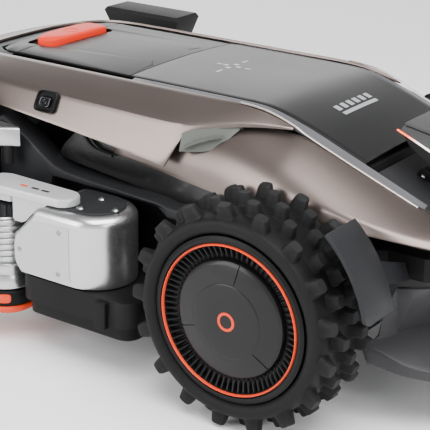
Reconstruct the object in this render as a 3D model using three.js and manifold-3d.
// Robotic lawn mower, four driven wheels, swing-out edge trimmer on its right side.
// Millimetres, +Z up, the nose points to -Y, the ground is z = 0.
import * as THREE from 'three';
import { mergeVertices } from 'three/addons/utils/BufferGeometryUtils.js';
import { ConvexGeometry } from 'three/addons/geometries/ConvexGeometry.js';
import Module from 'manifold-3d';

const wasm = await Module();
wasm.setup();

// ---- driving dimensions ----
const WHEEL_R = 127;          // over the lugs
const RING_R = 82;            // accent ring of a wheel
const WHEEL_X = 236;          // centre plane of a wheel from the middle
const WHEELBASE = 510;
const LUGS = 17;              // lugs in one row of a tyre
const COVER_X = 105;          // half width of the black top cover
const COVER_Z = 306;          // height of the flat of the cover
const TUB_X = 149.5;          // half width of the lower tub
const HATCH_FRONT = 262;      // hinge seam, from the front axle
const HATCH_REAR = 441;
const ARM_X = -215;           // swing axis of the trimmer arm
const ARM_Y = 224;
const HEAD_X = -235;          // spin axis of the trimmer head
const HEAD_Y = 345;
const GAP = 0.3;              // between pieces that touch
const MID_Y = 201.2;          // middle of the length, from the front axle

const root = new THREE.Group();
const frame = new THREE.Group();
frame.position.y = -MID_Y;
root.add(frame);

const mat = (color, roughness, metalness = 0) =>
  new THREE.MeshStandardMaterial({ color, roughness, metalness });
const CHAMPAGNE = mat(0xa89a92, 0.32, 0.75);
const BLACK = mat(0x141415, 0.55);
const COVER = mat(0x262728, 0.38);
const GREY = mat(0x3c3d40, 0.5);
const TRIM = mat(0x77787d, 0.45, 0.3);
const RUBBER = mat(0x1d1e1f, 0.85);
const ORANGE = mat(0xe8431f, 0.4);
const ALU = mat(0xc3c5c7, 0.3, 0.95);
const STEEL = mat(0xa5a7aa, 0.25, 1);
const GLASS = mat(0x0b0c10, 0.08);

// ---- shape helpers ----
function bare(geometry) {
  // positions only, welded, with the slivers at a lathe's axis dropped
  const soup = geometry.index ? geometry.toNonIndexed() : geometry.clone();
  soup.deleteAttribute('normal');
  soup.deleteAttribute('uv');
  const g = mergeVertices(soup, 1e-4);
  const a = g.index.array;
  const index = [];
  for (let i = 0; i < a.length; i += 3) {
    if (a[i] !== a[i + 1] && a[i + 1] !== a[i + 2] && a[i] !== a[i + 2]) {
      index.push(a[i], a[i + 1], a[i + 2]);
    }
  }
  g.setIndex(index);
  return g;
}

function solid(geometry) {
  const g = bare(geometry);
  return new wasm.Manifold(new wasm.Mesh({
    numProp: 3,
    vertProperties: new Float32Array(g.attributes.position.array),
    triVerts: new Uint32Array(g.index.array),
  }));
}

function fromSolid(m) {
  const mesh = m.getMesh();
  const g = new THREE.BufferGeometry();
  g.setAttribute('position', new THREE.BufferAttribute(Float32Array.from(mesh.vertProperties), 3));
  g.setIndex(Array.from(mesh.triVerts));
  return g;
}

const union = (...list) =>
  fromSolid(list.map(solid).reduce((a, b) => a.add(b)));
const cut = (body, ...tools) =>
  fromSolid(tools.map(solid).reduce((a, b) => a.subtract(b), solid(body)));

function mirrorX(geometry) {
  const g = bare(geometry);
  g.scale(-1, 1, 1);
  const a = g.index.array;
  for (let i = 0; i < a.length; i += 3) [a[i], a[i + 1]] = [a[i + 1], a[i]];
  return g;
}

const mirrored = (list) => list.map(([x, y, z]) => [-x, y, z]);
const both = (list) => [...list, ...mirrored(list)];

function shapeOf(points) {
  return new THREE.Shape(points.map(([a, b]) => new THREE.Vector2(a, b)));
}

function extrude(shape, depth, bevel = 0) {
  const s = Array.isArray(shape) ? shapeOf(shape) : shape;
  const g = new THREE.ExtrudeGeometry(s, {
    depth: depth - 2 * bevel,
    bevelEnabled: bevel > 0,
    bevelSize: bevel,
    bevelOffset: -bevel,
    bevelThickness: bevel,
    bevelSegments: 1,
    curveSegments: 4,
  });
  g.translate(0, 0, bevel);
  return g;
}

function prismZ(shape, z0, z1, bevel = 0) {
  return extrude(shape, z1 - z0, bevel).translate(0, 0, z0);
}

function prismX(shape, x0, x1, bevel = 0) {
  const basis = new THREE.Matrix4().makeBasis(
    new THREE.Vector3(0, 1, 0), new THREE.Vector3(0, 0, 1), new THREE.Vector3(1, 0, 0));
  return extrude(shape, x1 - x0, bevel).applyMatrix4(basis).translate(x0, 0, 0);
}

function box(x0, x1, y0, y1, z0, z1) {
  const g = new THREE.BoxGeometry(x1 - x0, y1 - y0, z1 - z0);
  return g.translate((x0 + x1) / 2, (y0 + y1) / 2, (z0 + z1) / 2);
}

function hull(points) {
  return new ConvexGeometry(points.map((p) => new THREE.Vector3(...p)));
}

function roundRect(x0, x1, y0, y1, r) {
  const s = new THREE.Shape();
  s.moveTo(x0 + r, y0);
  s.lineTo(x1 - r, y0);
  s.absarc(x1 - r, y0 + r, r, -Math.PI / 2, 0);
  s.lineTo(x1, y1 - r);
  s.absarc(x1 - r, y1 - r, r, 0, Math.PI / 2);
  s.lineTo(x0 + r, y1);
  s.absarc(x0 + r, y1 - r, r, Math.PI / 2, Math.PI);
  s.lineTo(x0, y0 + r);
  s.absarc(x0 + r, y0 + r, r, Math.PI, 1.5 * Math.PI);
  return s;
}

function spinZ(profile, segments = 28) {
  // profile points are [radius, height]
  const p = profile.map(([r, z]) => new THREE.Vector2(r, z));
  return outward(bare(new THREE.LatheGeometry(p, segments).rotateX(Math.PI / 2)));
}

function spinX(profile, segments = 36) {
  // profile points are [radius, x]
  const p = profile.map(([r, x]) => new THREE.Vector2(r, x));
  return outward(bare(new THREE.LatheGeometry(p, segments).rotateZ(-Math.PI / 2)));
}

function outward(g) {
  // turn the faces round if the enclosed volume comes out negative
  const p = g.attributes.position;
  const a = g.index.array;
  let v = 0;
  const A = new THREE.Vector3();
  const B = new THREE.Vector3();
  const C = new THREE.Vector3();
  for (let i = 0; i < a.length; i += 3) {
    A.fromBufferAttribute(p, a[i]);
    B.fromBufferAttribute(p, a[i + 1]);
    C.fromBufferAttribute(p, a[i + 2]);
    v += A.dot(B.cross(C));
  }
  if (v < 0) for (let i = 0; i < a.length; i += 3) [a[i], a[i + 1]] = [a[i + 1], a[i]];
  return g;
}

function shell(rows, thickness, inside = [0, MID_Y, 120]) {
  // a closed sheet: the rows are the outer face, the inner face lies one thickness inside
  const n = rows.length;
  const m = rows[0].length;
  const P = rows.map((r) => r.map((p) => new THREE.Vector3(...p)));
  const at = (i, j) => P[Math.min(Math.max(i, 0), n - 1)][Math.min(Math.max(j, 0), m - 1)];
  const centre = new THREE.Vector3(...inside);
  const pos = [];
  const inner = [];
  for (let i = 0; i < n; i++) {
    for (let j = 0; j < m; j++) {
      const du = at(i + 1, j).clone().sub(at(i - 1, j));
      const dv = at(i, j + 1).clone().sub(at(i, j - 1));
      const normal = du.cross(dv).normalize();
      if (normal.dot(P[i][j].clone().sub(centre)) < 0) normal.negate();
      pos.push(...P[i][j].toArray());
      inner.push(...P[i][j].clone().addScaledVector(normal, -thickness).toArray());
    }
  }
  const N = n * m;
  const index = [];
  const quad = (a, b, c, d) => index.push(a, b, c, a, c, d);
  for (let i = 0; i < n - 1; i++) {
    for (let j = 0; j < m - 1; j++) {
      const a = i * m + j;
      quad(a, a + m, a + m + 1, a + 1);
      quad(N + a, N + a + 1, N + a + m + 1, N + a + m);
    }
    const b = i * m;
    quad(b, N + b, N + b + m, b + m);
    const c = b + m - 1;
    quad(c, c + m, N + c + m, N + c);
  }
  for (let j = 0; j < m - 1; j++) {
    quad(j, j + 1, N + j + 1, N + j);
    const e = (n - 1) * m + j;
    quad(e, N + e, N + e + 1, e + 1);
  }
  const g = new THREE.BufferGeometry();
  g.setAttribute('position', new THREE.Float32BufferAttribute([...pos, ...inner], 3));
  g.setIndex(index);
  return outward(g);
}

function add(name, geometry, material, parent = frame) {
  const mesh = new THREE.Mesh(geometry, material.clone());
  mesh.name = name;
  parent.add(mesh);
  return mesh;
}

function addPair(name, geometry, material) {
  // the piece as drawn is on the right side, at -X; its twin is on the left
  add(`${name}_R`, geometry, material);
  add(`${name}_L`, mirrorX(geometry), material);
}

// ---- wheels ----
// Local frame: X is the axle, the outer face of the wheel looks to -X.
function lugRow(x0, x1, turn, tip) {
  const p = [];
  const step = (2 * Math.PI) / LUGS;
  for (let i = 0; i < LUGS; i++) {
    for (const [k, r] of [[0.02, 108], [0.14, tip], [0.42, tip], [0.54, 108]]) {
      const a = (i + k + turn) * step;
      p.push([r * Math.cos(a), r * Math.sin(a)]);
    }
  }
  const s = shapeOf(p);
  const hole = new THREE.Path();
  hole.absarc(0, 0, 104, 0, 2 * Math.PI, true);
  s.holes.push(hole);
  return prismX(s, x0, x1);
}

const carcass = spinX([
  [92, -36], [97, -44], [106, -46], [114, -37], [114, 37], [105, 44], [92, 36], [92, -36],
], 24);
const TYRE = union(
  carcass,
  lugRow(-41, -14, 0, WHEEL_R - 1.5),
  lugRow(-14, 14, 0.5, WHEEL_R),
  lugRow(14, 41, 0, WHEEL_R - 1.5),
);
const RIM = spinX([
  [0, -35], [66, -35], [67, -37], [84, -37], [84, -44.5],
  [91.4, -43], [91.4, 40], [86, 40], [82, 27], [0, 27],
], 24);
const RING = spinX([
  [RING_R - 1.5, -37.5], [RING_R + 1.5, -37.5], [RING_R + 1.5, -46.5],
  [RING_R - 1.5, -46.5], [RING_R - 1.5, -37.5],
], 24);
const CAP = spinX([
  [0, -47.2], [41, -46.8], [42.5, -45.6], [64, -41], [65.4, -35.3], [0, -35.3],
], 20);

for (const [tag, side, y] of [
  ['FR', -1, 0], ['FL', 1, 0], ['RR', -1, WHEELBASE], ['RL', 1, WHEELBASE],
]) {
  const wheel = new THREE.Group();
  wheel.position.set(side * WHEEL_X, y, WHEEL_R);
  if (side > 0) wheel.rotation.z = Math.PI;
  frame.add(wheel);
  add(`tyre_${tag}`, TYRE, RUBBER, wheel);
  add(`rim_${tag}`, RIM, BLACK, wheel);
  add(`accent_ring_${tag}`, RING, ORANGE, wheel);
  add(`hub_cap_${tag}`, CAP, GREY, wheel);
}

const HUB = spinX([[0, 27.3], [58, 27.3], [60, 30], [60, 42], [26, 46], [26, 86], [0, 86]], 16);
for (const [tag, y] of [['front', 0], ['rear', WHEELBASE]]) {
  addPair(`hub_motor_${tag}`, HUB.clone().translate(-WHEEL_X, y, WHEEL_R), ALU);
}

// ---- lower tub with the cutting chamber under it ----
const tubSide = [
  [-104, 104], [-84, 84], [150, 84], [150, 136], [350, 136], [350, 84],
  [530, 84], [588, 130], [592, 188], [-212, 188], [-212, 162], [-104, 162],
];
const corner = prismZ([
  [-200, -80], [-200, -260], [0, -260], [0, -214], [-56, -212], [-112, -194], [-141, -150],
  [-142, -108], [-TUB_X, -95], [-TUB_X - 1, -80],
].reverse(), 40, 200);
const tail = prismZ([[-200, 530], [-TUB_X - 1, 530], [-112, 562], [-60, 584], [0, 590], [0, 620],
  [-200, 620]], 40, 200);
add('chassis_tub', cut(
  union(
    prismX(tubSide, -TUB_X, TUB_X),
    box(-TUB_X, -TUB_X + 5, 149, 351, 56, 137),
    box(TUB_X - 5, TUB_X, 149, 351, 56, 137),
  ),
  corner, mirrorX(corner), tail, mirrorX(tail),
), BLACK);

// ---- inner body under the covers ----
const under = [
  [-196, 189], [-196, 194], [-150, 210], [-62, 244], [-56, 255], [0, 276], [28, 285.5], [55, 294],
  [84, 300.5], [470, 300], [505, 289], [540, 266], [552, 236], [552, 189],
];
const core = cut(
  prismX(under, -COVER_X + 2, COVER_X - 2),
  box(-80, 80, 284, 412, 214, 320),
  prismZ(roundRect(-61, 61, 418, 464, 12), 288, 320),
);
add('body_core', core, BLACK);
add('battery_pack', union(
  prismZ(roundRect(-76, 76, 288, 408, 8), 214.5, 284, 3),
  prismX(roundRect(336, 360, 282, 296, 4), -30, 30),
), GREY);

// ---- black top cover in three pieces ----
function coverRow(y, z, w = COVER_X) {
  return [-1, -0.72, -0.36, 0, 0.36, 0.72, 1].map((k) => [k * w, y, z + 3 * (1 - k * k)]);
}
const hood = [
  [-56, 263.2], [-27, 274.2], [0, 285], [28, 294.4], [50, 301], [66, 304.3], [84, 305.8],
  [140, COVER_Z], [HATCH_FRONT - GAP, COVER_Z],
];
add('hood_cover', shell(hood.map(([y, z]) => coverRow(y, z)), 3), COVER);

const hatchTop = shell([
  coverRow(HATCH_FRONT + GAP, COVER_Z, COVER_X - 2),
  coverRow(350, COVER_Z, COVER_X - 2),
  coverRow(HATCH_REAR, COVER_Z, COVER_X - 3),
], 3);
add('hatch_panel', cut(hatchTop, prismZ(roundRect(-63, 63, 416, 466, 13), 290, 320)), COVER);

const tailCover = shell([
  coverRow(HATCH_REAR + 1, COVER_Z, COVER_X - 3),
  coverRow(458, 305.4, COVER_X - 4),
  coverRow(474, 303.6, COVER_X - 16),
  coverRow(486, 301.5, COVER_X - 38),
], 3);
add('rear_cover', cut(tailCover, prismZ(roundRect(-63, 63, 416, 466, 13), 290, 320)), COVER);

// stop button in its well
const stopShape = [[-56, 441], [-47, 428], [-20, 421], [44, 421], [57, 434], [57, 445],
  [44, 459], [-20, 461], [-47, 456], [-56, 447]];
const stopTop = stopShape.map(([x, y]) => [x * 0.86, 441 + (y - 441) * 0.66, 316]);
const stopRim = stopShape.map(([x, y]) => [x, y, 310]);
const stopBase = stopShape.map(([x, y]) => [x, y, 296]);
add('stop_button', hull([...stopTop, ...stopRim, ...stopBase]), ORANGE);

// ---- grey trim strips between the cover and the side shells ----
function trimRow(y, z) {
  return [[-COVER_X - 1.3, y, z - 0.2], [-112, y, z - 1.8], [-118.8, y, z - 3.4]];
}
const trimLine = [[-132, 233.5], [-90, 249.8], ...hood.slice(0, -1), [HATCH_FRONT - 8, COVER_Z]];
addPair('trim_strip', shell(trimLine.map(([y, z]) => trimRow(y, z)), 3.5), TRIM);

// ---- champagne shell: both flanks and the tail in one wrap ----
// each row runs from the cover edge over the shoulder crease down to the lower edge
const flank = [
  [[121, 24, 293], [123, 24, 292.7], [125, 24, 292.4], [126, 24, 291.4], [126.5, 24, 290]],
  [[121, 60, 304], [130, 62, 299.8], [139, 65, 294], [140, 65, 292], [140.2, 65, 289.6]],
  [[121, 95, 307], [138, 100, 299], [154, 104, 289], [155.4, 104, 286.6], [155.6, 104, 283.6]],
  [[121, 123, 307], [144, 130, 297], [166, 136, 283.6], [167.6, 136, 281], [168, 136, 277.5]],
  [[121, 151, 307], [145, 157, 297], [168, 163, 283.4], [177, 159, 260], [184, 154, 237]],
  [[121, 200, 307], [145, 200, 297.4], [168, 200, 284], [177, 200, 261.6], [184, 200, 243.4]],
  [[121, 262, 307], [145, 262, 298], [168, 262, 285.6], [177.2, 262, 265.6], [184, 262, 250.4]],
  [[121, 340, 307], [145, 340, 298.8], [168, 340, 287.6], [177.4, 340, 270.5], [184, 340, 258.4]],
  [[121, 400, 307], [145, 401, 299.2], [167.5, 402, 288.7], [176.5, 402, 273.6], [182.5, 401, 264]],
  [[120, 445, 306.6], [142, 450, 299.4], [162, 457, 290], [171, 458, 276], [176, 455, 266.5]],
  [[114, 476, 305], [133, 484, 298.8], [151, 496, 289.6], [160, 499, 276], [163, 496, 265.6]],
  [[96, 501, 302.5], [114, 515, 297], [130, 532, 288], [137, 537, 273], [138, 534, 258.6]],
  [[62, 517, 300.5], [78, 542, 295.6], [93, 564, 286.4], [98, 571, 267], [96, 568, 248]],
  [[28, 522, 299.5], [36, 556, 294.4], [44, 583, 284.6], [46, 591, 262], [44, 586, 238]],
];
const wrap = [...flank.map(mirrored), ...flank.slice().reverse()];
add('side_shell', shell(wrap, 3), CHAMPAGNE);

// grey band between the rear cover and the tail of the shell
const bandRows = [
  [[-118, 445, 302.6], [-106, 445, 304.2]],
  [[-112, 475, 301.2], [-97, 468, 303]],
  [[-94, 499, 298.8], [-80, 489, 301.2]],
  [[-61, 514, 297], [-52, 494, 299.6]],
  [[-28, 519, 296], [-24, 496, 298.8]],
  [[28, 519, 296], [24, 496, 298.8]],
  [[61, 514, 297], [52, 494, 299.6]],
  [[94, 499, 298.8], [80, 489, 301.2]],
  [[112, 475, 301.2], [97, 468, 303]],
  [[118, 445, 302.6], [106, 445, 304.2]],
];
add('tail_band', cut(shell(bandRows, 3), prismX(under, -COVER_X + 1.7, COVER_X - 1.7)), GREY);

// ---- champagne front panels, from under the shoulder to the nose ----
const lip = (y) => 281 + 0.37 * y;
const cheek = [
  [[-138, 240, 270], [-150, 240, 262], [-160, 240, 247], [-163, 240, 237], [-163, 240, 229.5]],
  [[-136, 180, 280], [-149, 180, 270.5], [-161, 180, 252], [-166, 180, 239], [-165, 180, 223.5]],
  [[-130, 119, 288], [-146, 119, 279], [-162, 119, 261], [-171, 119, 242.5], [-172, 119, 218.5]],
  [[-124, 73, 292], [-145, 73, 282.5], [-165, 73, 264.5], [-176, 73, 243], [-180, 73, 217]],
  [[-120.5, 22, 283.5], [-144, 22, 277], [-167, 22, 261], [-181, 22, 241], [-186, 22, 217]],
  [[-120.5, 10, lip(10)], [-144, 10, 277], [-167, 10, 260], [-181, 10, 240], [-186, 10, 216.5]],
  [[-120.5, -36, lip(-36)], [-144, -36, 262], [-167, -36, 249], [-181, -36, 234], [-186, -36, 216]],
  [[-120.5, -80, lip(-80)], [-144, -80, 247], [-166, -80, 238], [-180, -80, 228], [-185, -80, 216]],
  [[-120, -128, lip(-128)], [-142, -128, 231], [-162, -128, 226], [-175, -128, 221],
    [-180, -128, 215]],
  [[-112, -175, 221], [-131, -176, 220], [-149, -177, 218], [-161, -178, 215], [-166, -179, 210]],
  [[-90, -214, 211], [-103, -217, 211], [-115, -220, 210], [-124, -221, 207], [-128, -222, 202]],
  [[-40, -228, 206], [-44, -231, 206], [-48, -233, 205], [-51, -234, 202], [-52, -234.5, 197]],
];
const cheeks = [...cheek, ...cheek.slice().reverse().map(mirrored)];
add('front_shell', shell(cheeks, 3, [0, 60, 120]), CHAMPAGNE);

// ---- dark nose deck under the camera head ----
add('nose_deck', prismX([[-62, 250], [-196, 200], [-196, 196], [-62, 246]], -100, 100), GREY);

// ---- side fairings that arch over the trimmer and the rear wheels ----
const fairing = [
  [400, 250], [389, 246], [358, 230], [335, 214], [317, 204], [300, 199.5], [257, 196],
  [200, 193], [165, 191], [150, 188], [60, 186], [60, 176], [150, 176], [165, 187.5],
  [318, 190], [330, 150], [388, 150], [400, 165],
];
addPair('side_fairing', prismX(fairing, -182, -TUB_X - GAP), GREY);

// ---- side cameras on the flanks ----
// drawn upright at x = 0, then leaned and set against the flank between the crease and its foot
const FLANK_LEAN = 0.55;      // outward per millimetre down, between the crease and mid height
const leaned = new THREE.Matrix4().makeShear(0, 0, 0, 0, FLANK_LEAN, 0);
const sideCamera = union(
  prismX(roundRect(315, 347, 266.5, 290, 7), -4.6, -0.6, 1.2),
  prismX(roundRect(323, 339, 273, 284, 2.5), -6.2, -4),
).applyMatrix4(leaned);
addPair('side_camera', sideCamera.translate(-177.6 - FLANK_LEAN * 270.5, 0, 0), GLASS);

// ---- camera head on the nose ----
const headRim = [[-60, -70, 293], [-72, -122, 277], [-77, -200, 262], [-62, -228, 258]];
const headTop = [[-55, -74, 300.5], [-66, -196, 284.6], [-54, -216, 282]];
const headLow = [[-53, -79, 275], [-53, -110, 252], [-57, -195, 224], [-50, -222, 232]];
add('camera_head', hull([...both(headTop.map(([x, y, z]) => [x, y, z - 3])), ...both(headRim),
  ...both(headLow)]), GREY);
const capTop = both(headTop);
const capBase = both([[-56.5, -73.2, 298], [-67.5, -197.5, 281.8], [-54.6, -219, 279]]);
add('camera_head_cap', hull([...capTop, ...capBase]), GREY);
add('head_mount', hull(both([
  [-44, -86, 241.5], [-44, -188, 203.5], [-44, -92, 250], [-44, -188, 222],
])), BLACK);
add('vision_window', prismX(roundRect(-231.4, -228.6, 241, 254, 1), -54, 54), GLASS);

// ---- front bumper, a flared skirt below the nose ----
// each row runs from the top of the wall to its foot, out over the scoop and down its rim
const bumperRight = [
  [[-154, -112, 118], [-154, -110, 94], [-164, -104, 91], [-173, -98, 89], [-174.5, -108, 70]],
  [[-151, -125, 152], [-149, -116, 92], [-159, -118, 89], [-167.5, -121, 85], [-169.5, -129, 66]],
  [[-148, -148, 156], [-136, -122, 95], [-152, -140, 86], [-168, -150, 73], [-166, -153, 62]],
  [[-122, -180, 157], [-108, -142, 100], [-131, -170, 87], [-152, -196, 72], [-150, -198, 62]],
  [[-60, -204, 158], [-56, -166, 106], [-66, -196, 90], [-74, -226, 72], [-73, -227, 62]],
];
const bumperRows = [...bumperRight, ...bumperRight.slice().reverse().map(mirrored)];
add('front_bumper', shell(bumperRows, 4.5, [0, -60, 120]), GREY);

// ---- mudguards ahead of the front wheels ----
function arcPlate(r0, r1, a0, a1, steps) {
  const p = [];
  for (let i = 0; i <= steps; i++) {
    const a = a0 + ((a1 - a0) * i) / steps;
    p.push([r1 * Math.cos(a), WHEEL_R + r1 * Math.sin(a)]);
  }
  for (let i = steps; i >= 0; i--) {
    const a = a0 + ((a1 - a0) * i) / steps;
    p.push([r0 * Math.cos(a), WHEEL_R + r0 * Math.sin(a)]);
  }
  return p.reverse();
}
const rad = Math.PI / 180;
const guardPlate = cut(
  prismX(arcPlate(151.5, 156, 131.5 * rad, 169 * rad, 7), -267, -211),
  hull([
    [-270, -170, 150], [-250, -170, 150], [-270, -170, 163], [-270, -130, 150],
    [-250, -130, 150], [-270, -130, 163],
  ]),
);
function polar(r, degrees) {
  // a point round the front axle, as [y, z]
  return [r * Math.cos(degrees * rad), WHEEL_R + r * Math.sin(degrees * rad)];
}
const guardArm = hull([
  ...[[152.5, 148], [152.5, 158], [144, 148], [144, 158]].map((p) => [-222, ...polar(...p)]),
  ...[[144, 157], [144, 165], [134, 157], [134, 165]].map((p) => [-150.2, ...polar(...p)]),
]);
addPair('front_mudguard', union(guardPlate, guardArm), GREY);

// ---- rear mudguards over the rear wheels ----
const rearGuard = union(
  hull([
    ...[[-266, 430], [-217, 430], [-266, 555], [-217, 555]].map(([x, y]) => [x, y, 296]),
    ...[[-268, 426], [-215, 426], [-268, 559], [-215, 559]].map(([x, y]) => [x, y, 291]),
    ...[[-264, 438], [-217, 438], [-264, 540], [-217, 540]].map(([x, y]) => [x, y, 259]),
  ]),
  box(-219, -COVER_X - GAP, 470, 500, 257.5, 262),
);
addPair('rear_mudguard', rearGuard, GREY);

// ---- rear axle brackets ----
const plate = [[-195, 356], [-189, 362], [-184, 402], [-COVER_X - GAP, 402],
  [-COVER_X - GAP, 520], [-186, 520], [-188, 430], [-222, 412], [-222, 398]].reverse();
const post = spinZ([[0, 200], [5, 200], [5, 224], [0, 224]], 16).translate(-198, 372, 0);
addPair('rear_bracket', union(prismZ(plate, 222, 245, 1.5), post), ALU);

// ---- edge trimmer: base on the tub ----
const base = union(
  prismX(roundRect(171, 186, 62, 95, 3), -268, -260, 1),
  prismZ(roundRect(-262, -TUB_X - GAP, 138, 305, 22), 67, 98),
  prismZ(roundRect(-256, -TUB_X - GAP, 144, 298, 18), 50, 67.5),
);
add('trimmer_base', base, BLACK);

// swinging arm: housing, lid plate, cover plate and the bridge over the motor
const ARM_R = 47;             // round end of the housing
function deeLoop(r, y1, z) {
  const out = [[ARM_X + r, y1, z], [ARM_X - r, y1, z]];
  for (let i = 0; i <= 12; i++) {
    const a = Math.PI + (Math.PI * i) / 12;
    out.push([ARM_X + r * Math.cos(a), ARM_Y + r * Math.sin(a), z]);
  }
  return out;
}
add('arm_housing', hull([
  ...deeLoop(ARM_R, 303, 99.5), ...deeLoop(ARM_R, 311, 112), ...deeLoop(ARM_R, 311, 142),
  ...deeLoop(ARM_R, 282, 172), ...deeLoop(ARM_R - 12, 266, 184),
]), ALU);
add('arm_lid', hull([...deeLoop(ARM_R - 13, 263, 184.3), ...deeLoop(ARM_R - 13.6, 262, 186.2)]), GREY);

function stadium(x0, y0, r0, x1, y1, r1, n = 8) {
  // outline round two circles of radius r0 (at the front) and r1 (at the rear)
  const p = [];
  for (let i = 0; i <= n; i++) {
    const a = Math.PI + (Math.PI * i) / n;
    p.push([x0 + r0 * Math.cos(a), y0 + r0 * Math.sin(a)]);
  }
  for (let i = 0; i <= n; i++) {
    const a = (Math.PI * i) / n;
    p.push([x1 + r1 * Math.cos(a), y1 + r1 * Math.sin(a)]);
  }
  return p;
}
const bridge = union(
  prismZ(stadium(-236, 254, 18, -237, 346, 22), 186.5, 196.5, 1.5),
  prismZ(stadium(-236, 331, 18, -237, 346, 22), 176, 188),
  prismX([[265, 187], [284, 173.4], [300, 157], [316, 157], [316, 187]].reverse(), -254, -219),
);
add('arm_bridge', bridge, ALU);
add('arm_motor', spinZ([
  [0, 175.7], [9, 175.7], [9, 172], [18, 171], [23, 166], [25, 158], [25, 155],
  ...[0, 1, 2, 3].flatMap((i) => [
    [22, 152 - i * 14], [26, 149 - i * 14], [26, 144 - i * 14], [22, 141 - i * 14]]),
  [27.5, 97], [28.5, 95], [28.5, 88], [27, 88], [27, 86], [30, 82], [31, 70], [31, 68.8],
  [0, 68.8],
], 20).translate(HEAD_X, HEAD_Y, 0), ALU);

// spinning trimmer head
const eyelets = [];
for (let i = 0; i < 4; i++) {
  const g = prismX(roundRect(-8, 8, 52, 64, 3), 30, 34);
  g.rotateZ((i * Math.PI) / 2 + 3.75).translate(HEAD_X, HEAD_Y, 0);
  eyelets.push(g);
}
const spool = spinZ([[0, 68.3], [33, 66], [33, 48], [0, 48]], 24);
add('trimmer_spool', union(spool.translate(HEAD_X, HEAD_Y, 0), ...eyelets), BLACK);
add('trimmer_skid', spinZ([[0, 47.7], [34, 47.7], [34.5, 45], [33, 39.5], [28, 38], [0, 38]], 24)
  .translate(HEAD_X, HEAD_Y, 0), ORANGE);

// ---- cutting deck ----
const deck = union(
  prismZ(roundRect(-140, 140, 156, 344, 20), 84, 90),
  prismZ(roundRect(-40, 40, 215, 285, 8), 89, 104),
  ...[-72, 72].map((x) => spinZ([[0, 89], [34, 89], [34, 108], [28, 114], [0, 114]], 16)
    .translate(x, 250, 0)),
);
add('deck_plate', deck, GREY);
for (const [tag, x] of [['R', -72], ['L', 72]]) {
  add(`cutter_disc_${tag}`, spinZ([[0, 83.6], [14, 83.6], [16, 76], [58, 72], [58, 69], [0, 69]], 24)
    .translate(x, 250, 0), STEEL);
  const blades = [];
  for (let i = 0; i < 3; i++) {
    const g = prismZ([[-2, -8], [67, -8], [70, -3], [70, 8], [-2, 8]], 66.6, 68.6);
    blades.push(g.rotateZ((i * 2 * Math.PI) / 3 + (x > 0 ? 1 : 0)).translate(x, 250, 0));
  }
  add(`blade_${tag}`, union(...blades), STEEL);
}

export default root;
